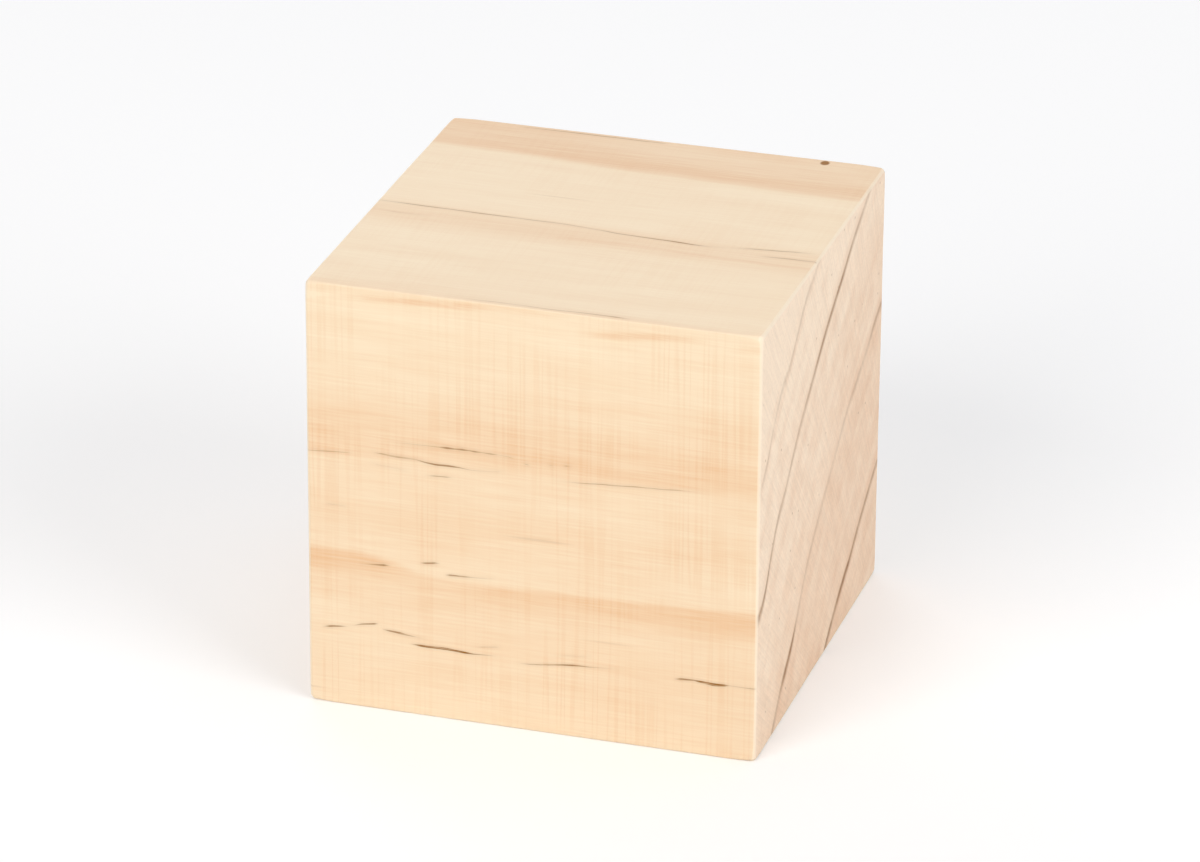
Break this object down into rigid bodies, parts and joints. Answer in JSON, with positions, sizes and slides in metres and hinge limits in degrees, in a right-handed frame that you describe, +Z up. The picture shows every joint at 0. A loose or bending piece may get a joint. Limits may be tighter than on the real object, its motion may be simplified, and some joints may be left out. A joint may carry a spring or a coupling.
{
  "type": "wooden cube",
  "caption": "Plain solid softwood cube with flat faces and lightly eased edges, sawn from a square stick, for stacking, crafts or use as a small desk riser.",
  "frame": {"origin": "centre of the bottom face, on the surface the cube stands on", "axes": "+X along the grain, out of the sawn end that the picture shows; -Y out of the front long-grain face; +Z up"},
  "size_m": [0.05, 0.05, 0.049],
  "materials": {
    "pine": "bare plantation pine, sawn, planed and fine sanded, with no coating"
  },
  "bodies": {
    "root": {"wooden_cube": "pine"}
  },
  "joints": []
}
